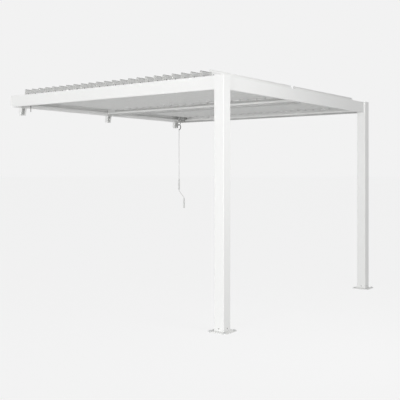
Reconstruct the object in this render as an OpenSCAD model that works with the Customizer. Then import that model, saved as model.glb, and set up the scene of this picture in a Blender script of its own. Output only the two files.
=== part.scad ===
// Lean-to louvered pergola in white coated aluminium: two front posts, a frame of gutter beams
// held to a wall by three brackets, and two bays of tilting louvre blades under one roof.
// X runs along the wall, -Y points from the wall to the posts, Z points up.
// The origin is on the back face of the middle wall bracket, at its centre.

/* [Overall] */
// Width along the wall, over the outer faces of the posts
overall_w = 3300; // [2600:10:4000]
// Height from the ground to the top of the frame
overall_h = 2400; // [2100:10:2800]

/* [Posts] */
// Side of the square post
post_w = 110; // [100:1:140]
// Wall of the post tube
post_wall = 2; // [1.5:0.5:4]
// Outer corner radius of the post tube
post_corner_r = 4; // [3:0.5:8]
// Thickness of the lid that closes the post tube
post_lid_t = 3; // [2:0.5:6]
// Side of the square base plate
base_w = 205; // [190:1:260]
// Thickness of the base plate
base_t = 8; // [6:1:14]
// Corner radius of the base plate
base_corner_r = 14; // [8:1:24]
// Radius of the anchor holes in the base plate
base_hole_r = 6.5; // [4:0.5:8]
// Distance from an anchor hole's centre to the plate's edges
base_hole_edge = 21; // [18:0.5:24]
// Height of the spigot that stands inside the post
spigot_h = 100; // [60:5:160]
// Wall of the spigot
spigot_wall = 4; // [3:0.5:6]
// Play between the spigot and the inside of the post
spigot_play = 0.5; // [0.3:0.1:1]

/* [Beams] */
// Height of the beams
beam_h = 130; // [115:1:160]
// Thickness of the closed box of a beam
box_w = 36; // [30:1:42]
// Wall of the beam extrusion
beam_wall = 2; // [1.5:0.5:3]
// Set-back of the beams from the outer faces of the posts
beam_setback = 22; // [15:1:25]
// Width of the open gutter inside a beam
gutter_w = 49; // [45:1:60]
// Height of the gutter floor above the bottom of the beam
gutter_raise = 15; // [8:1:24]
// Height of the gutter's lip
lip_h = 23; // [18:1:30]
// Width of the bead along the top of the lip
bead_w = 6; // [4:0.5:8]
// Radius of the lower corner of a side beam at the wall
heel_r = 36; // [20:1:50]
// Length of the solid heel that closes a side beam at the wall
heel_l = 40; // [38:1:60]

/* [Louvres] */
// Number of louvre stations between the front beam and the wall
louvre_count = 24; // [20:1:28]
// Distance from one pivot to the next
louvre_pitch = 116; // [114:1:122]
// Space between the posts and the drip edge of the first blade
front_play = 5; // [5:1:20]
// Distance from the last pivot to the wall
rear_gap = 215; // [205:1:280]
// Depth of the pivots under the top of the frame
pivot_drop = 14; // [14:0.5:20]
// Reach of the blade from its pivot to the drip edge
blade_tip = 82; // [76:1:86]
// Reach of the blade from its pivot to the rim of its channel
blade_tail = 50; // [46:1:54]
// Thickness of the blade's box, without its camber
blade_t = 20; // [16:1:22]
// Rise of the curved top skin
blade_camber = 3; // [1:0.5:4]
// Wall of the blade extrusion
blade_wall = 2; // [1.5:0.1:2.5]
// Width of the water channel along the tail
channel_w = 22; // [18:1:26]
// Height of the channel's rim
rim_h = 6; // [4:0.5:8]
// Width of the lip that reaches over the next blade's channel
drip_w = 22; // [18:1:24]
// Depth of the drip edge under that lip
drip_h = 8; // [4:0.5:9]
// Thickness of the end caps
cap_t = 4; // [3:0.5:6]
// Radius of the pivot pins
pin_r = 4; // [3:0.5:5]
// Radius of the bearing washers
washer_r = 9; // [8.5:0.25:9.5]
// Space between the beam's web and the plain end of a blade
plain_end_gap = 18; // [6:0.5:22]

/* [Drive] */
// Distance from a pivot to its drive pin
lever_r = 32; // [30:1:34]
// Radius of the round end of a lever
lever_end_r = 8; // [6:0.5:8]
// Radius of the drive pins
drive_pin_r = 3; // [2.5:0.5:4]
// Thickness of the drive bar
bar_t = 4; // [3:0.5:5]
// Height of the drive bar
bar_h = 16; // [15:1:20]
// Space between the drive bar and the beam's web
bar_web_gap = 5; // [5:0.5:8]
// Space between the drive bar and the levers
bar_lever_gap = 0.5; // [0.3:0.1:0.9]
// Space between a gearbox hub and the sweep of the last blade's channel
gear_play = 20; // [16:0.5:22]
// Radius of the gearbox hub
hub_r = 34; // [26:1:38]
// Length of the gearbox hub
hub_l = 52; // [40:1:60]
// Distance from the gutter's lip to the axis of the crank drive
barrel_reach = 112; // [96:1:125]
// Radius of the upright barrel of a gearbox
barrel_r = 19; // [16:1:24]
// Height of the upright barrel
barrel_h = 62; // [50:1:72]
// Width of the gearbox's foot on the gutter's lip
foot_w = 74; // [66:1:76]
// Thickness of that foot
foot_t = 4; // [3:0.5:6]
// Radius of the turning shafts
shaft_r = 6; // [5:0.5:7]

/* [Crank] */
// Length of the eye's stem under its collar
stem_l = 25; // [15:1:60]
// Radius of the eye's ring, to the middle of its wire
eye_ring_r = 25; // [18:0.5:28]
// Radius of the eye's wire
eye_wire_r = 4; // [3:0.5:5]
// Radius of the rod's hook, to the middle of its wire
hook_r = 38; // [30:0.5:39]
// Radius of the crank rod
rod_r = 6; // [5:0.5:8]
// Length of the rod from its hook to the upper grip
rod_l = 760; // [500:10:1200]
// Length of the grips
grip_l = 145; // [100:5:160]
// Radius of the grips
grip_r = 11; // [9:0.5:14]
// Offset of the lower grip from the rod
crank_offset = 96; // [70:1:110]
// Height that the offset arm comes down
crank_fall = 104; // [60:1:120]

/* [Wall brackets] */
// Width of a bracket
bracket_w = 70; // [66:1:120]
// Height of a bracket
bracket_h = 90; // [80:1:120]
// Depth of a bracket from the wall
bracket_d = 52; // [44:1:84]
// Plate thickness of the brackets
bracket_t = 6; // [4:0.5:7]
// Distance from a side beam's outer face to the middle of the outer bracket
bracket_inset = 158; // [140:1:600]
// Radius of the wall bolts' holes
bracket_hole_r = 5.5; // [4:0.5:6]
// Distance between the bolt holes, side to side
bracket_hole_dx = 30; // [26:1:34]
// Distance between the bolt holes, up and down
bracket_hole_dz = 44; // [40:1:50]

/* [Rear panels] */
// Sheet thickness of the fixed panels along the wall
panel_t = 2; // [1.5:0.5:3]
// Height of a panel's turned-down edge at the wall
panel_flange_h = 25; // [15:1:35]

/* [Hidden] */
$fn = 32;

// Clearances
seat_gap = 0.3;
move_gap = 5;
bore_play = 1.5;
// How far joined shapes run into each other, and cuts run out of them
overlap = 1;

// Levels
beam_bottom = bracket_h / 2;
frame_top = beam_bottom + beam_h;
ground = frame_top - overall_h;
pivot_z = frame_top - pivot_drop;
gutter_floor = beam_bottom + gutter_raise;
lip_top = gutter_floor + lip_h;

// Places along the wall
post_outer = overall_w / 2;
post_inner = post_outer - post_w;
side_outer = post_outer - beam_setback;
side_web = side_outer - box_w;
side_lip = side_web - gutter_w;
centre_web = box_w / 2;

// Places out from the wall; the wall is at zero and the front has the lowest Y
wall_web = -box_w;
wall_lip = wall_web - gutter_w;
last_pivot = -rear_gap;
first_pivot = last_pivot - (louvre_count - 1) * louvre_pitch;
front_gap = post_w - beam_setback - box_w + front_play + blade_tip;
front_web = first_pivot - front_gap;
front_face = front_web - box_w;
front_lip = front_web + gutter_w;
post_front = front_face - beam_setback;
post_back = post_front + post_w;

// The blades, drawn shut and stood open by a quarter turn
drive_end = side_web - bar_web_gap - bar_t - bar_lever_gap;
plain_end = centre_web + plain_end_gap;
bar_outer = side_web - bar_web_gap;
bar_inner = bar_outer - bar_t;
lever_off = lever_r / sqrt(2);
box_tip = blade_tip - drip_w;
box_tail = blade_tail - channel_w;
skin_t = blade_wall + 0.5;
camber_steps = 8;
port_r = pin_r + 4;
pin_reach = beam_wall + 4;
lever_w = 2 * lever_end_r - 3;

// The gearboxes
gear_z = max(lip_top + shaft_r, gutter_floor + beam_wall + lever_r + lever_end_r) + move_gap;
gear_x = side_lip - barrel_reach;
tail_sweep = norm([blade_tail, blade_t / 2]);
gear_y = rear_gap - sqrt(pow(tail_sweep + gear_play + hub_r, 2) - pow(pivot_z - gear_z, 2));
barrel_top = gear_z + hub_r - move_gap;
barrel_bottom = barrel_top - barrel_h;
barrel_neck_r = barrel_r - 3;
hub_neck_r = hub_r - 8;
collar_t = 4;
collar_r = shaft_r + 3;
shaft_grip = 18;

// The crank
eye_z = barrel_bottom - seat_gap - collar_t - stem_l - eye_ring_r;
hook_z = eye_z - eye_ring_r + 2 * eye_wire_r + seat_gap - hook_r;
hook_turn = 290;
left_eye_turn = -40;
rod_top = hook_z - hook_r;
grip_top = rod_top - rod_l;
arm_top = grip_top - grip_l - 2 * grip_r;
arm_bottom = arm_top - crank_fall;
elbow_r = rod_r + 0.6;

// The rear panels reach over the channel of the last blade
panel_drop = 4;
panel_gap = move_gap + 1;
panel_top = frame_top - panel_drop;
panel_front = last_pivot + sqrt(pow(box_tail, 2) + pow(blade_t / 2, 2)) + panel_gap;
panel_edge_z = pivot_z - blade_t / 2 + rim_h + panel_gap;

// The brackets: the outer two stand in from the side beams, and a gusset's lower end is a share
// of the bracket's depth
bracket_x = side_outer - bracket_inset;
gusset_foot = bracket_d * 0.7;

function row_name(i) = str("louvre_row_", i < 9 ? "0" : "", i + 1);
function pivot_y(i) = first_pivot + i * louvre_pitch;
function camber(u) = blade_camber * (1 - pow((2 * u - blade_tip + box_tail) / (blade_tip + box_tail), 2));

module on_both_sides() {
    for (side = [0, 1]) mirror([side, 0, 0]) children();
}

// A cylinder along +X
module rod_x(x0, x1, r) {
    translate([x0, 0, 0]) rotate([0, 90, 0]) cylinder(r = r, h = x1 - x0);
}

// A square with round corners
module round_square(w, r) {
    side = w - 2 * r;
    square([w, side], center = true);
    square([side, w], center = true);
    for (x = [-1, 1], y = [-1, 1]) translate([x * side / 2, y * side / 2]) circle(r = r);
}

// Posts
module post() {
    tube_h = overall_h - base_t;
    difference() {
        linear_extrude(tube_h) round_square(post_w, post_corner_r);
        translate([0, 0, -overlap]) linear_extrude(tube_h - post_lid_t + overlap)
            round_square(post_w - 2 * post_wall, post_corner_r - post_wall);
    }
}

module front_posts() {
    color("whitesmoke") on_both_sides()
        translate([post_outer - post_w / 2, post_front + post_w / 2, ground + base_t]) post();
}

module base_plate() {
    hole = base_w / 2 - base_hole_edge;
    spigot_w = post_w - 2 * post_wall - 2 * spigot_play;
    difference() {
        linear_extrude(base_t) round_square(base_w, base_corner_r);
        for (x = [-1, 1], y = [-1, 1]) translate([x * hole, y * hole, -overlap])
            cylinder(r = base_hole_r, h = base_t + 2 * overlap);
    }
    translate([0, 0, base_t]) linear_extrude(spigot_h) difference() {
        round_square(spigot_w, post_corner_r - spigot_play);
        square(spigot_w - 2 * spigot_wall, center = true);
    }
}

module base_plates() {
    color("whitesmoke") on_both_sides()
        translate([post_outer - post_w / 2, post_front + post_w / 2, ground]) base_plate();
}

// Beam sections, with the inside of the roof on the right: first the box, then the gutter
module box_section() {
    difference() {
        square([box_w, beam_h]);
        translate([beam_wall, beam_wall]) square([box_w - 2 * beam_wall, beam_h - 2 * beam_wall]);
    }
}

module gutter_section() {
    translate([box_w, gutter_raise]) {
        square([gutter_w, beam_wall]);
        translate([gutter_w - beam_wall, 0]) square([beam_wall, lip_h]);
        translate([gutter_w - bead_w, lip_h - beam_wall]) square([bead_w, beam_wall]);
    }
}

// Stands a section up along the wall, from x0 to x1
module along_x(x0, x1) {
    translate([x0, 0, 0]) rotate([90, 0, 90]) linear_extrude(x1 - x0) children();
}

// Stands a section up out from the wall, from y0 to y1, with its inside towards +X
module along_y(y0, y1) {
    translate([0, y1, 0]) rotate([90, 0, 0]) linear_extrude(y1 - y0) children();
}

module pivot_holes(x0, x1) {
    for (i = [0:louvre_count - 1]) translate([0, pivot_y(i), pivot_z])
        rod_x(x0, x1, pin_r + bore_play);
}

// The left side beam; its mirror image is the right one
module side_beam() {
    difference() {
        translate([-side_outer, 0, beam_bottom]) along_y(post_back, 0) box_section();
        translate([-side_outer - overlap, overlap - heel_l, beam_bottom - overlap])
            cube([box_w + 2 * overlap, heel_l, beam_h + 2 * overlap]);
        pivot_holes(-side_web - beam_wall - overlap, -side_web + overlap);
    }
    translate([-side_outer, 0, beam_bottom]) along_y(post_back, wall_lip) gutter_section();
    translate([-side_outer, 0, beam_bottom]) rotate([90, 0, 90]) linear_extrude(box_w) heel_outline();
}

// Side view of the heel: y to the right and z up, round at the lower corner by the wall
module heel_outline() {
    length = heel_l - overlap;
    translate([-length, 0]) {
        translate([0, heel_r]) square([length, beam_h - heel_r]);
        square([length - heel_r, heel_r + overlap]);
    }
    intersection() {
        translate([-heel_r, heel_r]) circle(r = heel_r);
        translate([-heel_r - overlap, 0]) square([heel_r + overlap, heel_r + overlap]);
    }
}

module left_side_beam() {
    color("whitesmoke") side_beam();
}

module right_side_beam() {
    color("whitesmoke") mirror([1, 0, 0]) side_beam();
}

module front_beam() {
    color("whitesmoke") translate([0, front_face, beam_bottom]) along_x(-post_inner, post_inner) {
        box_section();
        gutter_section();
    }
}

module wall_beam() {
    color("whitesmoke") translate([0, 0, beam_bottom]) mirror([0, 1, 0]) along_x(-side_web, side_web) {
        box_section();
        gutter_section();
    }
}

// The centre beam has a gutter on each side, and steps over the front and wall gutters
module centre_beam() {
    color("whitesmoke") difference() {
        translate([0, 0, beam_bottom]) {
            translate([-centre_web, 0, 0]) along_y(front_web, wall_web) box_section();
            for (side = [0, 1]) mirror([side, 0, 0])
                translate([-centre_web, 0, 0]) along_y(front_lip, wall_lip) gutter_section();
        }
        for (y = [front_web - overlap, wall_lip])
            translate([-centre_web - overlap, y, beam_bottom - overlap])
                cube([box_w + 2 * overlap, gutter_w + overlap, lip_top - beam_bottom + overlap]);
        pivot_holes(-centre_web - overlap, centre_web + overlap);
    }
}

// Wall brackets: a plate on the wall, a seat under the beam and two side gussets
module wall_bracket() {
    difference() {
        translate([-bracket_w / 2, -bracket_t, -bracket_h / 2]) cube([bracket_w, bracket_t, bracket_h]);
        for (x = [-1, 1], z = [-1, 1])
            translate([x * bracket_hole_dx / 2, overlap, z * bracket_hole_dz / 2 - bracket_t / 2])
                rotate([90, 0, 0]) cylinder(r = bracket_hole_r, h = bracket_t + 2 * overlap);
    }
    translate([-bracket_w / 2, -bracket_d, bracket_h / 2 - bracket_t])
        cube([bracket_w, bracket_d, bracket_t]);
    for (side = [0, 1]) mirror([side, 0, 0])
        translate([-bracket_w / 2, 0, 0]) rotate([90, 0, 90]) linear_extrude(bracket_t)
            polygon([[0, -bracket_h / 2], [-gusset_foot, -bracket_h / 2],
                     [-bracket_d, bracket_h / 2 - bracket_t * 2], [-bracket_d, bracket_h / 2],
                     [0, bracket_h / 2]]);
}

module wall_brackets() {
    color("gainsboro") for (x = [-bracket_x, 0, bracket_x]) translate([x, 0, 0]) wall_bracket();
}

// Fixed panels that close the roof between the last blades and the wall
module rear_panels() {
    color("whitesmoke") on_both_sides() translate([centre_web, 0, 0])
        rotate([90, 0, 90]) linear_extrude(side_web - centre_web) {
            translate([panel_front, panel_top - panel_t]) square([wall_web - panel_front, panel_t]);
            translate([panel_front, panel_edge_z]) square([panel_t, panel_top - panel_edge_z]);
            translate([wall_web - panel_t, panel_top - panel_flange_h]) square([panel_t, panel_flange_h]);
        }
}

// Blade section, drawn shut: u runs from the tail to the tip and v up, with the pivot at the origin
function skin_points(drop, u0, u1) =
    [for (k = [0:camber_steps]) let (u = u0 + (u1 - u0) * k / camber_steps)
        [u, blade_t / 2 + camber(u) - drop]];

module blade_outline() {
    half_t = blade_t / 2;
    polygon(concat(
        skin_points(0, -box_tail, blade_tip),
        [[blade_tip, half_t - drip_h], [blade_tip - skin_t, half_t - drip_h],
         [blade_tip - skin_t, half_t - skin_t], [box_tip, half_t - skin_t],
         [box_tip, -half_t], [-blade_tail, -half_t], [-blade_tail, rim_h - half_t],
         [skin_t - blade_tail, rim_h - half_t], [skin_t - blade_tail, skin_t - half_t],
         [-box_tail, skin_t - half_t]]));
}

// The hollow of the box, split by a rib at each side of the pivot's screw port
module blade_hollows() {
    floor_v = blade_wall - blade_t / 2;
    for (span = [[blade_wall - box_tail, -port_r], [blade_wall - port_r, port_r - blade_wall],
                 [port_r, box_tip - blade_wall]])
        polygon(concat(skin_points(blade_wall, span[0], span[1]), [[span[1], floor_v], [span[0], floor_v]]));
}

// Turns a shut section into the plane across a blade, with its tip towards the front
module across_blade(x0, x1) {
    translate([x0, 0, 0]) rotate([90, 0, 90]) linear_extrude(x1 - x0) mirror([1, 0]) children();
}

// Outline of a lever, from the pivot to the drive pin
module lever_outline() {
    for (p = [[0, 0], [-lever_off, -lever_off]]) translate(p) circle(r = lever_end_r);
    rotate(-135) translate([0, -lever_w / 2]) square([lever_r, lever_w]);
}

// One blade of the right bay, shut, from its plain end to its drive end
module blade() {
    difference() {
        across_blade(plain_end, drive_end) blade_outline();
        across_blade(plain_end + cap_t, drive_end - cap_t) blade_hollows();
    }
    across_blade(drive_end - cap_t, drive_end) lever_outline();
    translate([0, lever_off, -lever_off]) rod_x(drive_end - overlap, bar_outer + overlap, drive_pin_r);
    rod_x(drive_end - overlap, side_web - seat_gap, washer_r);
    rod_x(drive_end - overlap, side_web + pin_reach, pin_r);
    rod_x(centre_web + seat_gap, plain_end + overlap, washer_r);
    rod_x(centre_web - pin_reach, plain_end + overlap, pin_r);
}

module louvre_row(i) {
    color("gainsboro") on_both_sides()
        translate([0, pivot_y(i), pivot_z]) rotate([-90, 0, 0]) blade();
}

// Drive bars, with a hole for the drive pin of every blade and a tab down to the gearbox arm
module drive_bar() {
    bar_y = first_pivot - lever_off;
    bar_z = pivot_z - lever_off;
    end_y = -gear_y - lever_off;
    drop = pivot_z - gear_z;
    difference() {
        translate([bar_inner, 0, 0]) rotate([90, 0, 90]) linear_extrude(bar_t) {
            translate([bar_y - bar_h / 2, bar_z - bar_h / 2]) square([end_y - bar_y + bar_h, bar_h]);
            translate([end_y - bar_h / 2, bar_z - drop - bar_h / 2]) square([bar_h, drop + bar_h]);
        }
        for (i = [0:louvre_count - 1]) translate([0, pivot_y(i) - lever_off, bar_z])
            rod_x(bar_inner - overlap, bar_outer + overlap, drive_pin_r + bore_play);
        translate([0, end_y, bar_z - drop])
            rod_x(bar_inner - overlap, bar_outer + overlap, drive_pin_r + bore_play);
    }
}

module drive_bars() {
    color("silver") on_both_sides() drive_bar();
}

// Gearboxes: a foot on the gutter's lip, a hub, a neck and an upright barrel
module gearbox() {
    hub_start = side_lip - hub_l;
    bore = shaft_grip + 2;
    difference() {
        union() {
            translate([0, -gear_y, gear_z]) {
                rod_x(hub_start, side_lip, hub_r);
                translate([gear_x, 0, 0]) rotate([0, 90, 0])
                    cylinder(r1 = barrel_neck_r, r2 = hub_neck_r, h = hub_start - gear_x + overlap);
            }
            translate([side_lip - foot_t, -gear_y - foot_w / 2, gutter_floor])
                cube([foot_t, foot_w, gear_z - gutter_floor]);
            translate([gear_x, -gear_y, barrel_bottom]) cylinder(r = barrel_r, h = barrel_h);
        }
        translate([0, -gear_y, gear_z]) rod_x(side_lip - bore, side_lip + overlap, shaft_r + bore_play);
        translate([gear_x, -gear_y, barrel_bottom - overlap])
            cylinder(r = shaft_r + bore_play, h = bore + overlap);
    }
}

module gearboxes() {
    color("silver") on_both_sides() gearbox();
}

// Output arms of the gearboxes, drawn with the blades shut and stood open with them
module gear_arm() {
    across_blade(drive_end - cap_t, drive_end) lever_outline();
    translate([0, lever_off, -lever_off]) rod_x(drive_end - overlap, bar_outer + overlap, drive_pin_r);
    rod_x(side_lip - shaft_grip, drive_end - overlap, shaft_r);
    rod_x(side_lip + seat_gap, side_lip + seat_gap + collar_t, collar_r);
}

module gear_arms() {
    color("silver") on_both_sides()
        translate([0, -gear_y, gear_z]) rotate([-90, 0, 0]) gear_arm();
}

// Crank eye: a shaft in the barrel, a collar under it, a stem and a ring
module crank_eye() {
    collar_z = barrel_bottom - seat_gap - collar_t;
    stem_top = barrel_bottom + shaft_grip;
    translate([0, 0, collar_z]) {
        cylinder(r = shaft_r, h = stem_top - collar_z);
        cylinder(r = collar_r, h = collar_t);
    }
    translate([0, 0, eye_z + eye_ring_r]) cylinder(r = shaft_r - 1, h = stem_l + overlap);
    translate([0, 0, eye_z]) rotate([0, 90, 0]) rotate_extrude() translate([eye_ring_r, 0]) circle(r = eye_wire_r);
}

module crank_eye_left() {
    color("gainsboro") translate([-gear_x, -gear_y, 0]) rotate([0, 0, left_eye_turn]) crank_eye();
}

module crank_eye_right() {
    color("gainsboro") translate([gear_x, -gear_y, 0]) crank_eye();
}

// A straight round bar between two points in the plane across the wall
module bar_between(a, b, r) {
    run = b - a;
    translate([0, a[0], a[1]]) rotate([-atan2(run[0], run[1]), 0, 0]) cylinder(r = r, h = norm(run));
}

// Crank rod: a hook through the eye, the rod, a grip, an offset arm and the lower grip
module crank_rod() {
    handle_top = arm_bottom - grip_r;
    color("whitesmoke") translate([gear_x, -gear_y, 0]) {
        translate([0, 0, hook_z]) rotate([90, 0, 0]) rotate([0, 0, -90]) rotate_extrude(angle = hook_turn)
            translate([hook_r, 0]) circle(r = eye_wire_r);
        translate([0, 0, grip_top - overlap]) cylinder(r = rod_r, h = rod_l + overlap);
        translate([0, 0, grip_top - grip_l]) cylinder(r = grip_r, h = grip_l);
        translate([0, 0, arm_top]) cylinder(r = rod_r, h = 2 * grip_r + overlap);
        translate([0, 0, arm_top]) sphere(r = elbow_r);
        bar_between([0, arm_top], [-crank_offset, arm_bottom], rod_r);
        translate([0, -crank_offset, 0]) {
            translate([0, 0, arm_bottom]) sphere(r = elbow_r);
            translate([0, 0, handle_top - overlap]) cylinder(r = rod_r, h = grip_r + overlap);
            translate([0, 0, handle_top - grip_l]) cylinder(r = grip_r, h = grip_l);
        }
    }
}

front_posts();
base_plates();
left_side_beam();
right_side_beam();
front_beam();
wall_beam();
centre_beam();
wall_brackets();
rear_panels();
for (i = [0:louvre_count - 1]) louvre_row(i);
drive_bars();
gearboxes();
gear_arms();
crank_eye_left();
crank_eye_right();
crank_rod();
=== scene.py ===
import math

import bmesh
import bpy
from mathutils import Matrix, Vector


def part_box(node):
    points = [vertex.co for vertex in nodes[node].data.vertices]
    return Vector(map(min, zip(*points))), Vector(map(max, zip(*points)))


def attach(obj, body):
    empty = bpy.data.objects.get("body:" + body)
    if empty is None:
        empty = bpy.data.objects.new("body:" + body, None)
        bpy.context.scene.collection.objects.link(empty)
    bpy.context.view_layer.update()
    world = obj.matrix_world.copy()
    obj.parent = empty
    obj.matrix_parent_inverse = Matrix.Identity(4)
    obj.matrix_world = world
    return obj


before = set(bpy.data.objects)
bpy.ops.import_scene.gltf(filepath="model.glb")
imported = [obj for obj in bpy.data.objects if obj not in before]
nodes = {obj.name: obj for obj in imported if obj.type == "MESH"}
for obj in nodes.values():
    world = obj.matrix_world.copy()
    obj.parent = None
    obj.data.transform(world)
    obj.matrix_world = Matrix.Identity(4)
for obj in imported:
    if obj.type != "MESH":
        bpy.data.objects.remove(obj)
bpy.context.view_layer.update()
scene = bpy.context.scene

# The view: the pergola stands free and is seen from the left of its front, from the height of a
# person's chest. The lens looks level and is shifted down a little, so that the posts stay upright.
picture_side = 400
focal_pixels = 715.3
horizon_pixel = 174.6
view_turn = math.radians(53.428)
view_place = (-7.096, -6.847, -0.7557)
lens = bpy.data.cameras.new("view")
lens.sensor_width = 36
lens.lens = focal_pixels * lens.sensor_width / picture_side
lens.shift_y = (horizon_pixel - picture_side / 2) / picture_side
viewer = bpy.data.objects.new("view", lens)
scene.collection.objects.link(viewer)
viewer.matrix_world = (Matrix.Translation(view_place)
                       @ Matrix.Rotation(-view_turn, 4, "Z") @ Matrix.Rotation(math.pi / 2, 4, "X"))
scene.camera = viewer


# Posts: square aluminium tubes, extruded, cut to length and powder coated white in an oven.
# A flat lid closes the top, and the tube slips over a spigot at the foot, where screws hold it.
class Wire:
    """An output in a node tree: arithmetic on it adds Math nodes, and node() adds any other node."""

    def __init__(self, tree, socket=None):
        self.tree = tree
        self.socket = socket

    def node(self, kind, settings=None, sockets=None, output=0):
        made = self.tree.nodes.new(kind)
        for name, value in (settings or {}).items():
            setattr(made, name, value)
        for name, value in (sockets or {}).items():
            if isinstance(value, Wire):
                self.tree.links.new(value.socket, made.inputs[name])
            else:
                made.inputs[name].default_value = value
        return Wire(self.tree, made.outputs[output])

    def maths(self, operation, first, second=0.0):
        return self.node("ShaderNodeMath", {"operation": operation}, {0: first, 1: second})

    def into(self, node, name):
        self.tree.links.new(self.socket, node.inputs[name])

    def __add__(self, other):
        return self.maths("ADD", self, other)

    def __sub__(self, other):
        return self.maths("SUBTRACT", self, other)

    def __rsub__(self, other):
        return self.maths("SUBTRACT", other, self)

    def __mul__(self, other):
        return self.maths("MULTIPLY", self, other)

    __radd__ = __add__
    __rmul__ = __mul__


def finish_named(name, roughness=0.4, metallic=0.0, coat=0.0):
    material = bpy.data.materials.new(name)
    material.use_nodes = True
    shader = material.node_tree.nodes["Principled BSDF"]
    shader.inputs["Roughness"].default_value = roughness
    shader.inputs["Metallic"].default_value = metallic
    shader.inputs["Coat Weight"].default_value = coat
    return material, shader, Wire(material.node_tree)


def blended(wire, factor, first, second):
    return wire.node("ShaderNodeMix", {"data_type": "RGBA"}, {0: factor, 6: first, 7: second}, 2)


def grain(wire, place, stretch, detail=2.0):
    spread = wire.node("ShaderNodeVectorMath", {"operation": "MULTIPLY"}, {0: place, 1: stretch})
    return wire.node("ShaderNodeTexNoise", {}, {"Vector": spread, "Scale": 1.0, "Detail": detail}, "Fac")


def raised(wire, shader, height, strength, depth):
    bump = wire.node("ShaderNodeBump", {}, {"Strength": strength, "Distance": depth, "Height": height})
    bump.into(shader, "Normal")


def object_place(wire):
    return wire.node("ShaderNodeTexCoord", output="Object")


def along(wire, place, axis):
    """The share of a place or direction that lies along X, Y or Z."""
    return wire.node("ShaderNodeSeparateXYZ", {}, {0: place}, axis)


def stepped(wire, value, low, high):
    """0 up to low, 1 from high on, and even between them."""
    return wire.node("ShaderNodeMapRange", {}, {"Value": value, "From Min": low, "From Max": high})


def upward(wire):
    """How far a surface faces up, from 0 on the walls to 1 on a level top."""
    facing = wire.node("ShaderNodeTexCoord", output="Normal")
    return stepped(wire, along(wire, facing, "Z"), 0.3, 0.9)


coat_white = (0.875, 0.878, 0.868, 1)
coat_cloudy = (0.842, 0.846, 0.838, 1)
coat_dusty = (0.70, 0.69, 0.655, 1)


def powder_coat(name, draw_lines, clean=coat_white, cloudy=coat_cloudy):
    """Oven-baked white: orange peel, faint draw lines of the extrusion and dust on level tops."""
    material, shader, wire = finish_named(name)
    place = object_place(wire)
    peel = grain(wire, place, (620, 620, 620))
    drawn = grain(wire, place, draw_lines, 1.0)
    cloud = grain(wire, place, (3, 3, 3), 3.0)
    specks = grain(wire, place, (90, 90, 90), 4.0)
    dust = upward(wire) * (cloud * 0.6 + specks * 0.5)
    white = blended(wire, cloud * 0.7 + drawn * 0.2, clean, cloudy)
    blended(wire, dust * 0.55, white, coat_dusty).into(shader, "Base Color")
    (0.31 + cloud * 0.09 + peel * 0.05 + dust * 0.3).into(shader, "Roughness")
    raised(wire, shader, peel * 0.7 + drawn * 0.3, 0.16, 0.0004)
    return material


def paint(material, *names):
    for name in names:
        slots = nodes[name].data.materials
        for place in range(len(slots)):
            slots[place] = material


coat_upright = powder_coat("powder_coat_on_posts", (450, 450, 4))
paint(coat_upright, "front_posts")
post_low, post_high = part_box("front_posts")
post_w = 0.110
post_x = post_high.x - post_w / 2
post_y = (post_low.y + post_high.y) / 2
lid_half = post_w / 2 + 0.0005
lid_t = 0.005


def piece_of(name, mesh_maker, material, body):
    """A piece from bmesh code, in place, with its object at the origin."""
    shape = bmesh.new()
    mesh_maker(shape)
    bmesh.ops.remove_doubles(shape, verts=shape.verts, dist=1e-6)
    bmesh.ops.recalc_face_normals(shape, faces=shape.faces)
    mesh = bpy.data.meshes.new(name)
    shape.to_mesh(mesh)
    shape.free()
    mesh.materials.append(material)
    piece = bpy.data.objects.new(name, mesh)
    scene.collection.objects.link(piece)
    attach(piece, body)
    return piece


def block(shape, low, high, bevel=0.0, segments=2):
    """Adds a block between two corners, with its edges rounded."""
    size = Vector(high) - Vector(low)
    centre = (Vector(high) + Vector(low)) / 2
    placed = Matrix.Translation(centre) @ Matrix.Diagonal((*size, 1))
    made = bmesh.ops.create_cube(shape, size=1, matrix=placed)
    if bevel:
        edges = list({edge for vert in made["verts"] for edge in vert.link_edges})
        bmesh.ops.bevel(shape, geom=edges, offset=bevel, segments=segments, affect="EDGES", profile=0.5)


def post_lids(shape):
    for side in (-1, 1):
        block(shape, (side * post_x - lid_half, post_y - lid_half, post_high.z),
              (side * post_x + lid_half, post_y + lid_half, post_high.z + lid_t), 0.0018)


piece_of("post_lids", post_lids, coat_upright, "frame")


# Screws of the posts' feet: stainless button heads with a hexagon socket, one near the bottom of
# each face, driven through the tube into the spigot of the base plate.
def turned(name, profile, sides=24):
    """A head turned from (radius, height, corners) points; six corners make a hexagon of that row."""
    shape = bmesh.new()
    rows = []
    for radius, height, corners in profile:
        row = []
        for step in range(sides):
            angle = 2 * math.pi * step / sides
            reach = radius
            if corners:
                wedge = 2 * math.pi / corners
                reach = radius * math.cos(wedge / 2) / math.cos(angle % wedge - wedge / 2)
            row.append(shape.verts.new((reach * math.cos(angle), reach * math.sin(angle), height)))
        rows.append(row)
    for lower, upper in zip(rows, rows[1:]):
        for step in range(sides):
            after = (step + 1) % sides
            shape.faces.new((lower[step], lower[after], upper[after], upper[step]))
    shape.faces.new(list(reversed(rows[0])))
    shape.faces.new(rows[-1])
    bmesh.ops.recalc_face_normals(shape, faces=shape.faces)
    mesh = bpy.data.meshes.new(name)
    shape.to_mesh(mesh)
    shape.free()
    return bpy.data.objects.new(name, mesh)


def open_tree(name, inputs, result):
    """A new geometry tree, with its named inputs as wires."""
    tree = bpy.data.node_groups.new(name, "GeometryNodeTree")
    for title, kind in inputs.items():
        tree.interface.new_socket(title, in_out="INPUT", socket_type="NodeSocket" + kind)
    tree.interface.new_socket(result, in_out="OUTPUT", socket_type="NodeSocketGeometry")
    given = {item.name: Wire(tree, item) for item in tree.nodes.new("NodeGroupInput").outputs}
    return Wire(tree), given


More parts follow.
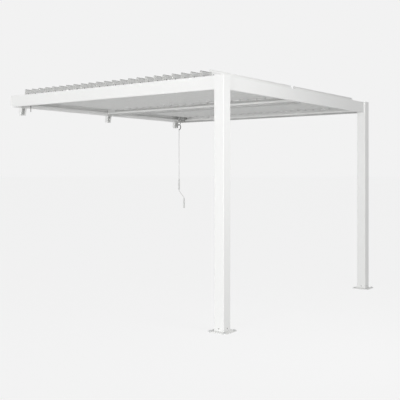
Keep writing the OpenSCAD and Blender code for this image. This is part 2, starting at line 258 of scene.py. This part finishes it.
def close_tree(wire, shape, finish, result):
    """Ends a tree: instances become real mesh, in their material."""
    solid = wire.node("GeometryNodeRealizeInstances", {}, {"Geometry": shape})
    coloured = wire.node("GeometryNodeSetMaterial", {}, {"Geometry": solid, "Material": finish})
    coloured.into(wire.tree.nodes.new("NodeGroupOutput"), result)
    return wire.tree


def fixings_tree():
    """Sets a head on every spot, along the spot's facing, each turned by its own amount."""
    wire, given = open_tree("fixings", {"Spots": "Geometry", "Head": "Object", "Most Turn": "Float",
                                        "Seed": "Int", "Finish": "Material"}, "Fixings")
    facing = wire.node("GeometryNodeInputNamedAttribute", {"data_type": "FLOAT_VECTOR"},
                       {"Name": "facing"})
    aligned = wire.node("FunctionNodeAlignRotationToVector", {"axis": "Z"}, {"Vector": facing})
    head = wire.node("GeometryNodeObjectInfo", {}, {"Object": given["Head"]}, "Geometry")
    placed = wire.node("GeometryNodeInstanceOnPoints", {},
                       {"Points": given["Spots"], "Instance": head, "Rotation": aligned})
    turn = wire.node("FunctionNodeRandomValue", {"data_type": "FLOAT"},
                     {2: 0.0, 3: given["Most Turn"], "Seed": given["Seed"]}, 1)
    spin = wire.node("ShaderNodeCombineXYZ", {}, {"Z": turn})
    turned_heads = wire.node("GeometryNodeRotateInstances", {}, {"Instances": placed, "Rotation": spin})
    return close_tree(wire, turned_heads, given["Finish"], "Fixings")


fixings = fixings_tree()


def grown(name, base, tree, sizes, body):
    """Runs a geometry tree on a base mesh and keeps the result as one plain mesh on its body."""
    piece = bpy.data.objects.new(name, base)
    scene.collection.objects.link(piece)
    modifier = piece.modifiers.new(name, "NODES")
    modifier.node_group = tree
    for item in tree.interface.items_tree:
        if item.in_out == "INPUT" and item.name in sizes:
            modifier[item.identifier] = sizes[item.name]
    ready = piece.evaluated_get(bpy.context.evaluated_depsgraph_get())
    plain = bpy.data.meshes.new_from_object(ready)
    piece.modifiers.clear()
    piece.data = plain
    plain.name = name
    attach(piece, body)
    return piece


def fixed(name, spots, head, material, body="frame", turn=6.28, seed=1):
    """A row or pattern of equal heads, each at a spot and facing its own way."""
    base = bpy.data.meshes.new(name)
    base.from_pydata([tuple(spot) for spot, _ in spots], [], [])
    facing = base.attributes.new("facing", "FLOAT_VECTOR", "POINT")
    for at, (_, way) in enumerate(spots):
        facing.data[at].vector = way
    sizes = {"Head": head, "Most Turn": turn, "Seed": seed, "Finish": material}
    return grown(name, base, fixings, sizes, body)


def brushed_metal(name, colour, dull, roughness, bare=1.0):
    """Bare metal with fine turning marks, and dulled where damp has stood on it."""
    material, shader, wire = finish_named(name, roughness, bare)
    place = object_place(wire)
    marks = grain(wire, place, (900, 900, 160))
    damp = grain(wire, place, (40, 40, 40), 4.0)
    blended(wire, damp, colour, dull).into(shader, "Base Color")
    (roughness + damp * 0.22 + marks * 0.08 - 0.1).into(shader, "Roughness")
    raised(wire, shader, marks, 0.12, 0.0002)
    return material


stainless = brushed_metal("stainless_steel", (0.56, 0.56, 0.55, 1), (0.40, 0.40, 0.385, 1), 0.38)
button_head = turned("button_head", [
    (0.0066, 0.0, 0), (0.0068, 0.0006, 0), (0.0062, 0.0022, 0), (0.0047, 0.0034, 0),
    (0.0038, 0.0037, 0), (0.0036, 0.0036, 6), (0.0034, 0.0009, 6)])
foot_screw_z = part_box("base_plates")[0].z + 0.036
foot_spots = []
for side in (-1, 1):
    for across, out in ((1, 0), (-1, 0), (0, 1), (0, -1)):
        spot = Vector((side * post_x + across * post_w / 2, post_y + out * post_w / 2, foot_screw_z))
        foot_spots.append((spot, (across, out, 0)))
fixed("post_foot_screws", foot_spots, button_head, stainless)


# Base plates: laser-cut steel squares, welded to their spigots and powder coated with the rest.
# They lie on the ground, so splashes dull them and their edges are chipped down to bare metal.
chipped_metal = (0.42, 0.42, 0.41, 1)
chipped_rim = 0.004


def worn_coat(name, reach):
    """The same white, with splash marks, and chipped near the edges, at reach from the middle."""
    material, shader, wire = finish_named(name)
    place = object_place(wire)
    from_x = wire.maths("ABSOLUTE", wire.maths("ABSOLUTE", along(wire, place, "X")) - post_x)
    from_y = wire.maths("ABSOLUTE", along(wire, place, "Y") - post_y)
    rim = stepped(wire, wire.maths("MAXIMUM", from_x, from_y), reach - chipped_rim, reach)
    chips = grain(wire, place, (150, 150, 150), 5.0)
    worn = stepped(wire, chips * rim, 0.56, 0.60)
    peel = grain(wire, place, (620, 620, 620))
    stain = grain(wire, place, (22, 22, 22), 4.0)
    dirt = stepped(wire, stain, 0.45, 0.75)
    white = blended(wire, stain, coat_white, coat_cloudy)
    dirty = blended(wire, dirt * 0.35, white, coat_dusty)
    blended(wire, worn, dirty, chipped_metal).into(shader, "Base Color")
    worn.into(shader, "Metallic")
    (0.36 + dirt * 0.25 + worn * 0.1).into(shader, "Roughness")
    raised(wire, shader, peel * 0.4 - worn * 0.8, 0.25, 0.0004)
    return material


plate_low, plate_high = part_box("base_plates")
plate_half = plate_high.x - post_x
paint(worn_coat("worn_coat_on_plates", plate_half), "base_plates")


# Ground anchors: zinc-plated hexagon bolts with a broad washer, one in each corner of a plate,
# screwed down into the footing.
zinc = brushed_metal("zinc_flake_coating", (0.62, 0.63, 0.63, 1), (0.50, 0.505, 0.51, 1), 0.5, 0.35)
hexagon_head = turned("hexagon_head", [
    (0.0120, 0.0, 0), (0.0120, 0.0018, 0), (0.0116, 0.0022, 0), (0.0105, 0.0022, 6),
    (0.0105, 0.0082, 6), (0.0092, 0.0092, 0), (0.0040, 0.0092, 0)])
plate_top = plate_low.z + 0.008
anchor_reach = 0.0815
anchor_spots = []
for side in (-1, 1):
    for across in (-1, 1):
        for out in (-1, 1):
            spot = Vector((side * post_x + across * anchor_reach, post_y + out * anchor_reach, plate_top))
            anchor_spots.append((spot, (0, 0, 1)))
fixed("ground_anchors", anchor_spots, hexagon_head, zinc, seed=3)


# Seals of the post feet: a bead of pale sealant lies round each post, where it meets its base
# plate, and keeps the rain out of the spigot.
def cords_tree():
    """Sweeps a round section along the edges of the base mesh."""
    wire, given = open_tree("cords", {"Run": "Geometry", "Radius": "Float", "Finish": "Material"},
                            "Cords")
    path = wire.node("GeometryNodeMeshToCurve", {}, {"Mesh": given["Run"]})
    section = wire.node("GeometryNodeCurvePrimitiveCircle", {},
                        {"Resolution": 8, "Radius": given["Radius"]})
    swept = wire.node("GeometryNodeCurveToMesh", {},
                      {"Curve": path, "Profile Curve": section, "Fill Caps": True})
    return close_tree(wire, swept, given["Finish"], "Cords")


cords = cords_tree()


def corded(name, runs, radius, material, body):
    """Cords of one thickness along the given runs of points."""
    points = []
    edges = []
    for run in runs:
        start = len(points)
        points.extend(run)
        edges.extend((start + at, start + at + 1) for at in range(len(run) - 1))
    base = bpy.data.meshes.new(name)
    base.from_pydata(points, edges, [])
    return grown(name, base, cords, {"Radius": radius, "Finish": material}, body)


def dull_rubber(name, colour, bloomed):
    """Rubber with a slight bloom and a matt, finely pitted skin."""
    material, shader, wire = finish_named(name, 0.75)
    place = object_place(wire)
    bloom = grain(wire, place, (70, 70, 70), 3.0)
    pits = grain(wire, place, (1500, 1500, 1500))
    blended(wire, bloom, colour, bloomed).into(shader, "Base Color")
    (0.66 + bloom * 0.2).into(shader, "Roughness")
    raised(wire, shader, pits, 0.2, 0.0002)
    return material


sealant = dull_rubber("pale_sealant", (0.74, 0.745, 0.735, 1), (0.66, 0.66, 0.65, 1))
bead_r = 0.0016
bead_z = plate_top + 0.0012
bead_half = post_w / 2 + 0.001
foot_runs = []
for side in (-1, 1):
    corners = [(-1, -1), (1, -1), (1, 1), (-1, 1), (-1, -1)]
    foot_runs.append([(side * post_x + x * bead_half, post_y + y * bead_half, bead_z)
                      for x, y in corners])
corded("post_foot_seals", foot_runs, bead_r, sealant, "frame")


# Beams: box extrusions with a gutter along the inside, mitred and screwed to the posts and to
# each other. The draw lines run along each beam, so the two directions have their own coat.
coat_outward = powder_coat("powder_coat_on_side_beams", (450, 4, 450))
coat_sideways = powder_coat("powder_coat_on_cross_beams", (4, 450, 450))
paint(coat_outward, "left_side_beam", "right_side_beam", "centre_beam")
paint(coat_sideways, "front_beam")
# A lighter copy of the white coat, painted light for the wall beam and rear panels in shade under the
# roof.
painted_light_white = (0.93, 0.933, 0.924, 1)
painted_light_cloudy = (0.905, 0.908, 0.90, 1)
coat_wall_side_lit = powder_coat("powder_coat_lit_on_wall_side", (4, 450, 450), painted_light_white, painted_light_cloudy)
paint(coat_wall_side_lit, "wall_beam", "rear_panels")


# Cover strips: grey strips under the centre and right beams, shaped as plastic strips clipped into
# the cable channel; their grey is painted shade that darkens these undersides.
def moulded(name, colour, shade):
    """Lightly textured moulding with a satin skin."""
    material, shader, wire = finish_named(name, 0.5)
    place = object_place(wire)
    cloud = grain(wire, place, (14, 14, 14), 3.0)
    leather = grain(wire, place, (900, 900, 900))
    blended(wire, cloud, colour, shade).into(shader, "Base Color")
    (0.42 + cloud * 0.12 + leather * 0.08).into(shader, "Roughness")
    raised(wire, shader, leather, 0.25, 0.0003)
    return material


underside_shade_grey = moulded("grey_painted_shade_strip", (0.56, 0.565, 0.555, 1), (0.52, 0.525, 0.515, 1))
beam_bottom = 0.045
shade_strip_t = 0.0012
shade_strip_runs = [((-0.048, -2.965), (0.061, -0.092)), ((1.556, -2.965), (1.620, -0.010))]


def cover_strips(shape):
    for (low_x, low_y), (high_x, high_y) in shade_strip_runs:
        block(shape, (low_x, low_y, beam_bottom - shade_strip_t), (high_x, high_y, beam_bottom), 0.0004)


piece_of("cover_strips", cover_strips, underside_shade_grey, "frame")


# Wall brackets: folded and welded steel angles with two gussets, coated. Four anchors, under white
# caps, hold each to the wall, and two screws go up into the wall beam.
coat_bracket = powder_coat("powder_coat_on_brackets", (300, 300, 300))
paint(coat_bracket, "wall_brackets")
bracket_x = (-1.470, 0.0, 1.470)
bolt_apart = 0.015
bolt_rise = 0.022
bracket_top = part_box("wall_brackets")[1].z
bracket_t = 0.006
bolt_middle = -0.003
seat_screw_y = -0.026
wall_spots = []
seat_spots = []
for x in bracket_x:
    for across in (-1, 1):
        for up in (-1, 1):
            spot = Vector((x + across * bolt_apart, -bracket_t, bolt_middle + up * bolt_rise))
            wall_spots.append((spot, (0, -1, 0)))
        spot = Vector((x + across * bolt_apart, seat_screw_y, bracket_top - bracket_t))
        seat_spots.append((spot, (0, 0, -1)))
bolt_cap = turned("bolt_cap", [
    (0.0120, 0.0, 0), (0.0120, 0.0016, 0), (0.0108, 0.0020, 0), (0.0100, 0.0070, 0),
    (0.0082, 0.0092, 0), (0.0040, 0.0100, 0)])
fixed("wall_bolt_caps", wall_spots, bolt_cap, coat_bracket, seed=5)
fixed("bracket_seat_screws", seat_spots, button_head, coat_bracket, seed=6)


# Louvre blades: hollow coated extrusions, closed by grey end caps that carry the pivots. Small
# plugs and screws hold the caps, and a rubber cord in the drip edge beds on the blade before it
# when the roof is shut.
# The blades take the lighter copy of the white coat: painted light that lifts their shaded faces.
coat_louvre_lit = powder_coat("powder_coat_lit_on_louvres", (4, 420, 420), painted_light_white, painted_light_cloudy)
louvre_count = 24
louvre_names = [f"louvre_row_{row + 1:02d}" for row in range(louvre_count)]
paint(coat_louvre_lit, *louvre_names)
drive_end = 1.5825
plain_end = 0.036
cap_t = 0.003
cap_grey = (0.56, 0.565, 0.55, 1)


def recoloured(material, mask_from, colour):
    """Gives the part of a coat that lies under a mask another colour."""
    wire = Wire(material.node_tree)
    shader = material.node_tree.nodes["Principled BSDF"]
    coat = Wire(material.node_tree, shader.inputs["Base Color"].links[0].from_socket)
    mask = mask_from(wire, object_place(wire))
    blended(wire, mask, coat, colour).into(shader, "Base Color")


def on_caps(wire, place):
    from_middle = wire.maths("ABSOLUTE", along(wire, place, "X"))
    return (wire.maths("GREATER_THAN", from_middle, drive_end - cap_t)
            + wire.maths("LESS_THAN", from_middle, plain_end + cap_t))


recoloured(coat_louvre_lit, on_caps, cap_grey)
pivot_z = 0.161
first_pivot = -2.883
louvre_pitch = 0.116
blade_face = -0.010
face_screw_in = 0.035
face_screw_up = 0.030
cap_screw_ups = (-0.022, 0.052)
seal_r = 0.0015
seal_out = 0.0015
seal_up = 0.0805
rubber = dull_rubber("grey_rubber", (0.20, 0.20, 0.20, 1), (0.30, 0.30, 0.295, 1))
dark_plug = dull_rubber("dark_plastic", (0.085, 0.085, 0.085, 1), (0.12, 0.12, 0.12, 1))
plug_head = turned("plug_head", [
    (0.0062, 0.0, 0), (0.0062, 0.0008, 0), (0.0054, 0.0014, 0), (0.0030, 0.0016, 0)], 12)
small_head = turned("small_head", [
    (0.0034, 0.0, 0), (0.0034, 0.0007, 0), (0.0026, 0.0014, 0), (0.0016, 0.0014, 6),
    (0.0014, 0.0004, 6)], 12)
for row, name in enumerate(louvre_names):
    pivot_y = first_pivot + row * louvre_pitch
    plugs = []
    screws = []
    for side in (-1, 1):
        for x in (drive_end - face_screw_in, plain_end + face_screw_in):
            spot = Vector((side * x, pivot_y + blade_face, pivot_z + face_screw_up))
            plugs.append((spot, (0, -1, 0)))
        for up in cap_screw_ups:
            screws.append((Vector((side * drive_end, pivot_y, pivot_z + up)), (side, 0, 0)))
            screws.append((Vector((side * plain_end, pivot_y, pivot_z + up)), (-side, 0, 0)))
    fixed(f"louvre_plugs_{row + 1:02d}", plugs, plug_head, dark_plug, name, seed=row)
    fixed(f"louvre_cap_screws_{row + 1:02d}", screws, small_head, stainless, name, seed=40 + row)
    if row > 0:
        runs = [[(side * x, pivot_y + seal_out, pivot_z + seal_up) for x in (plain_end, drive_end)]
                for side in (-1, 1)]
        corded(f"louvre_seals_{row + 1:02d}", runs, seal_r, rubber, name)


# Bearing strips: extruded grey plastic, screwed along both webs of the centre beam under the
# blades' ends, so that the blades never rub on the coating. Their grey is also painted shade for
# the deep gutter behind the blade ends.
web_shade_plastic = dull_rubber("grey_painted_shade_plastic", (0.60, 0.60, 0.59, 1), (0.66, 0.66, 0.65, 1))
strip_low = 0.087
strip_high = 0.112
strip_t = 0.002
strip_front = first_pivot - 0.050
strip_back = -0.165
centre_web = 0.018
strip_screw_z = 0.100


def bearing_strips(shape):
    for side in (-1, 1):
        first_x, last_x = sorted((side * centre_web, side * (centre_web + strip_t)))
        block(shape, (first_x, strip_front, strip_low), (last_x, strip_back, strip_high), 0.0004)


piece_of("bearing_strips", bearing_strips, web_shade_plastic, "frame")
strip_spots = []
for side in (-1, 1):
    for row in range(0, louvre_count, 2):
        y = first_pivot + (row + 0.5) * louvre_pitch
        strip_spots.append((Vector((side * (centre_web + strip_t), y, strip_screw_z)), (side, 0, 0)))
fixed("bearing_strip_screws", strip_spots, small_head, stainless, seed=8)


# End brushes: dark nylon brushes, pressed into the inner end caps of the blades, which narrow the
# gap over the centre beam between the two blades of a row. Their near-black is partly painted shade
# for the shadowed gap at each blade's end.
shade_brush_nylon = dull_rubber("dark_nylon_painted_shade", (0.13, 0.13, 0.13, 1), (0.18, 0.18, 0.18, 1))
brush_reach = 0.0225
brush_half_t = 0.005
brush_low = -0.028
brush_high = 0.052


def end_shade_brushes(shape, pivot_y):
    for side in (-1, 1):
        near, far = sorted((side * brush_reach, side * plain_end))
        block(shape, (near, pivot_y - brush_half_t, pivot_z + brush_low),
              (far, pivot_y + brush_half_t, pivot_z + brush_high), 0.002)


for row, name in enumerate(louvre_names):
    pivot_y = first_pivot + row * louvre_pitch
    piece_of(f"louvre_brushes_{row + 1:02d}", lambda shape: end_shade_brushes(shape, pivot_y),
             shade_brush_nylon, name)


# Drive bars and gearbox arms: flat bars of bare aluminium that join all levers of a bay, moved by
# the arm on the gearbox shaft.
aluminium = brushed_metal("bare_aluminium", (0.66, 0.66, 0.655, 1), (0.52, 0.52, 0.515, 1), 0.40)
paint(aluminium, "drive_bars", "gear_arms")


# Gearboxes: die-cast worm gear housings in grey, screwed to the gutter's lip, with the crank shaft
# coming out of the barrel's lower end.
housing = moulded("grey_housing", (0.50, 0.505, 0.50, 1), (0.42, 0.425, 0.42, 1))
paint(housing, "gearboxes")
gear_x = 1.431
gear_y = -0.124961
gear_foot_x = 1.539
gear_foot_z = 0.068
gear_foot_reach = 0.028
gear_spots = []
for side in (-1, 1):
    for end in (-1, 1):
        spot = Vector((side * gear_foot_x, gear_y + end * gear_foot_reach, gear_foot_z))
        gear_spots.append((spot, (-side, 0, 0)))
fixed("gearbox_screws", gear_spots, button_head, stainless, seed=9)


# Crank: a coated steel rod, bent to an offset arm, whose dark hook hangs in the eye of the right
# gearbox. The hook has vinyl sleeves, and a loose ribbed grip sits above and below the bend.
coat_rod = powder_coat("powder_coat_on_rod", (300, 300, 3))
paint(coat_rod, "crank_rod")
hook_grey = (0.20, 0.20, 0.198, 1)
rod_top = -0.086
hook_foot = -0.080


def on_hook(wire, place):
    return stepped(wire, along(wire, place, "Z"), rod_top, hook_foot)


recoloured(coat_rod, on_hook, hook_grey)
dark_zinc = brushed_metal("dark_zinc", (0.24, 0.24, 0.24, 1), (0.17, 0.17, 0.17, 1), 0.45, 0.3)
paint(dark_zinc, "crank_eye_left", "crank_eye_right")
hook_z = -0.035
hook_r = 0.038
sleeve_r = 0.0064
sleeve_turns = ((-70, 58), (122, 200))
sleeve_steps = 14
hook_runs = []
for first_turn, last_turn in sleeve_turns:
    run = []
    for step in range(sleeve_steps + 1):
        turn = math.radians(first_turn + (last_turn - first_turn) * step / sleeve_steps)
        run.append((gear_x + hook_r * math.cos(turn), gear_y, hook_z + hook_r * math.sin(turn)))
    hook_runs.append(run)
hook_sleeve = dull_rubber("dark_vinyl", (0.17, 0.17, 0.17, 1), (0.23, 0.23, 0.23, 1))
corded("hook_sleeves", hook_runs, sleeve_r, hook_sleeve, "crank_right")
grip_l = 0.145
grip_r = 0.0126
groove_r = 0.0118
end_r = 0.0112
groove_count = 11
groove_pitch = 0.0122
grip_profile = [(end_r, 0.0, 0), (grip_r, 0.002, 0)]
for groove in range(groove_count):
    low = 0.006 + groove * groove_pitch
    grip_profile.extend([(grip_r, low, 0), (groove_r, low + 0.001, 0),
                         (groove_r, low + 0.003, 0), (grip_r, low + 0.004, 0)])
grip_profile.extend([(grip_r, grip_l - 0.002, 0), (end_r, grip_l, 0)])
grip_sleeve = turned("grip_sleeve", grip_profile, 28)
upper_grip = (gear_x, gear_y, -0.978)
lower_grip = (gear_x, -0.221, -1.260)
grip_spots = [(Vector(foot), (0, 0, 1)) for foot in (upper_grip, lower_grip)]
grip_plastic = moulded("pale_grip_plastic", (0.80, 0.805, 0.79, 1), (0.75, 0.755, 0.745, 1))
fixed("crank_grips", grip_spots, grip_sleeve, grip_plastic, "crank_right",
      turn=0.0, seed=10)


# Ground and light: a plain pale floor that runs to the horizon, an even sky, a broad soft panel far
# out at the left, which makes the left faces the brightest, and a small softbox near the left post.
def seen_part(wire):
    """1 for what the camera sees directly or in gloss and glass, 0 for light on its way."""
    straight = wire.node("ShaderNodeLightPath", output="Is Camera Ray")
    gloss = wire.node("ShaderNodeLightPath", output="Is Glossy Ray")
    glass = wire.node("ShaderNodeLightPath", output="Is Transmission Ray")
    return wire.maths("MAXIMUM", wire.maths("MAXIMUM", straight, gloss), glass)


backdrop_tone = 0.888
sky_level = 0.52
floor_tone = 0.88
floor_glow = 0.926
shadow_tone = 0.98
shadow_share = 0.12
sky = bpy.data.worlds.new("even_sky")
scene.world = sky
sky.use_nodes = True
sky.node_tree.nodes.clear()
above = Wire(sky.node_tree)
lit = above.node("ShaderNodeBackground", {}, {"Color": (1, 1, 1, 1), "Strength": sky_level})
backdrop = (backdrop_tone, backdrop_tone, backdrop_tone, 1)
shown = above.node("ShaderNodeBackground", {}, {"Color": backdrop, "Strength": 1.0})
sky_mix = above.node("ShaderNodeMixShader", {}, {0: seen_part(above), 1: lit, 2: shown})
sky_mix.into(sky.node_tree.nodes.new("ShaderNodeOutputWorld"), "Surface")

ground = bpy.data.materials.new("pale_floor")
ground.use_nodes = True
ground.node_tree.nodes.clear()
below = Wire(ground.node_tree)
floor_white = (floor_tone, floor_tone, floor_tone, 1)
matt = below.node("ShaderNodeBsdfDiffuse", {}, {"Color": floor_white})
shadow_white = (shadow_tone, shadow_tone, shadow_tone, 1)
shaded = below.node("ShaderNodeBsdfDiffuse", {}, {"Color": shadow_white})
glow = below.node("ShaderNodeEmission", {}, {"Color": (1, 1, 1, 1), "Strength": floor_glow})
pale = below.node("ShaderNodeMixShader", {}, {0: shadow_share, 1: glow, 2: shaded})
floor_mix = below.node("ShaderNodeMixShader", {}, {0: seen_part(below), 1: matt, 2: pale})
floor_mix.into(ground.node_tree.nodes.new("ShaderNodeOutputMaterial"), "Surface")
floor_mesh = bpy.data.meshes.new("floor")
floor_reach = 400
floor_corners = [(x * floor_reach, y * floor_reach, plate_low.z)
                 for x, y in ((-1, -1), (1, -1), (1, 1), (-1, 1))]
floor_mesh.from_pydata(floor_corners, [], [(0, 1, 2, 3)])
floor_mesh.materials.append(ground)
floor = bpy.data.objects.new("floor", floor_mesh)
scene.collection.objects.link(floor)


def lit_from(name, size, energy, place, target):
    """A round soft lamp at a place, aimed at a target."""
    light = bpy.data.lights.new(name, "AREA")
    light.shape = "DISK"
    light.size = size
    light.energy = energy
    lamp = bpy.data.objects.new(name, light)
    scene.collection.objects.link(lamp)
    aim = (Vector(target) - Vector(place)).to_track_quat("-Z", "Y")
    lamp.matrix_world = Matrix.Translation(place) @ aim.to_matrix().to_4x4()


lit_from("side_panel", 4.5, 1030, (-15.6, -4.6, -0.6), (0.0, -2.5, -0.5))
lit_from("front_softbox", 1.5, 31, (-1.8, -5.6, 0.1), (-1.5, -3.1, -0.4))
scene.view_settings.view_transform = "Standard"
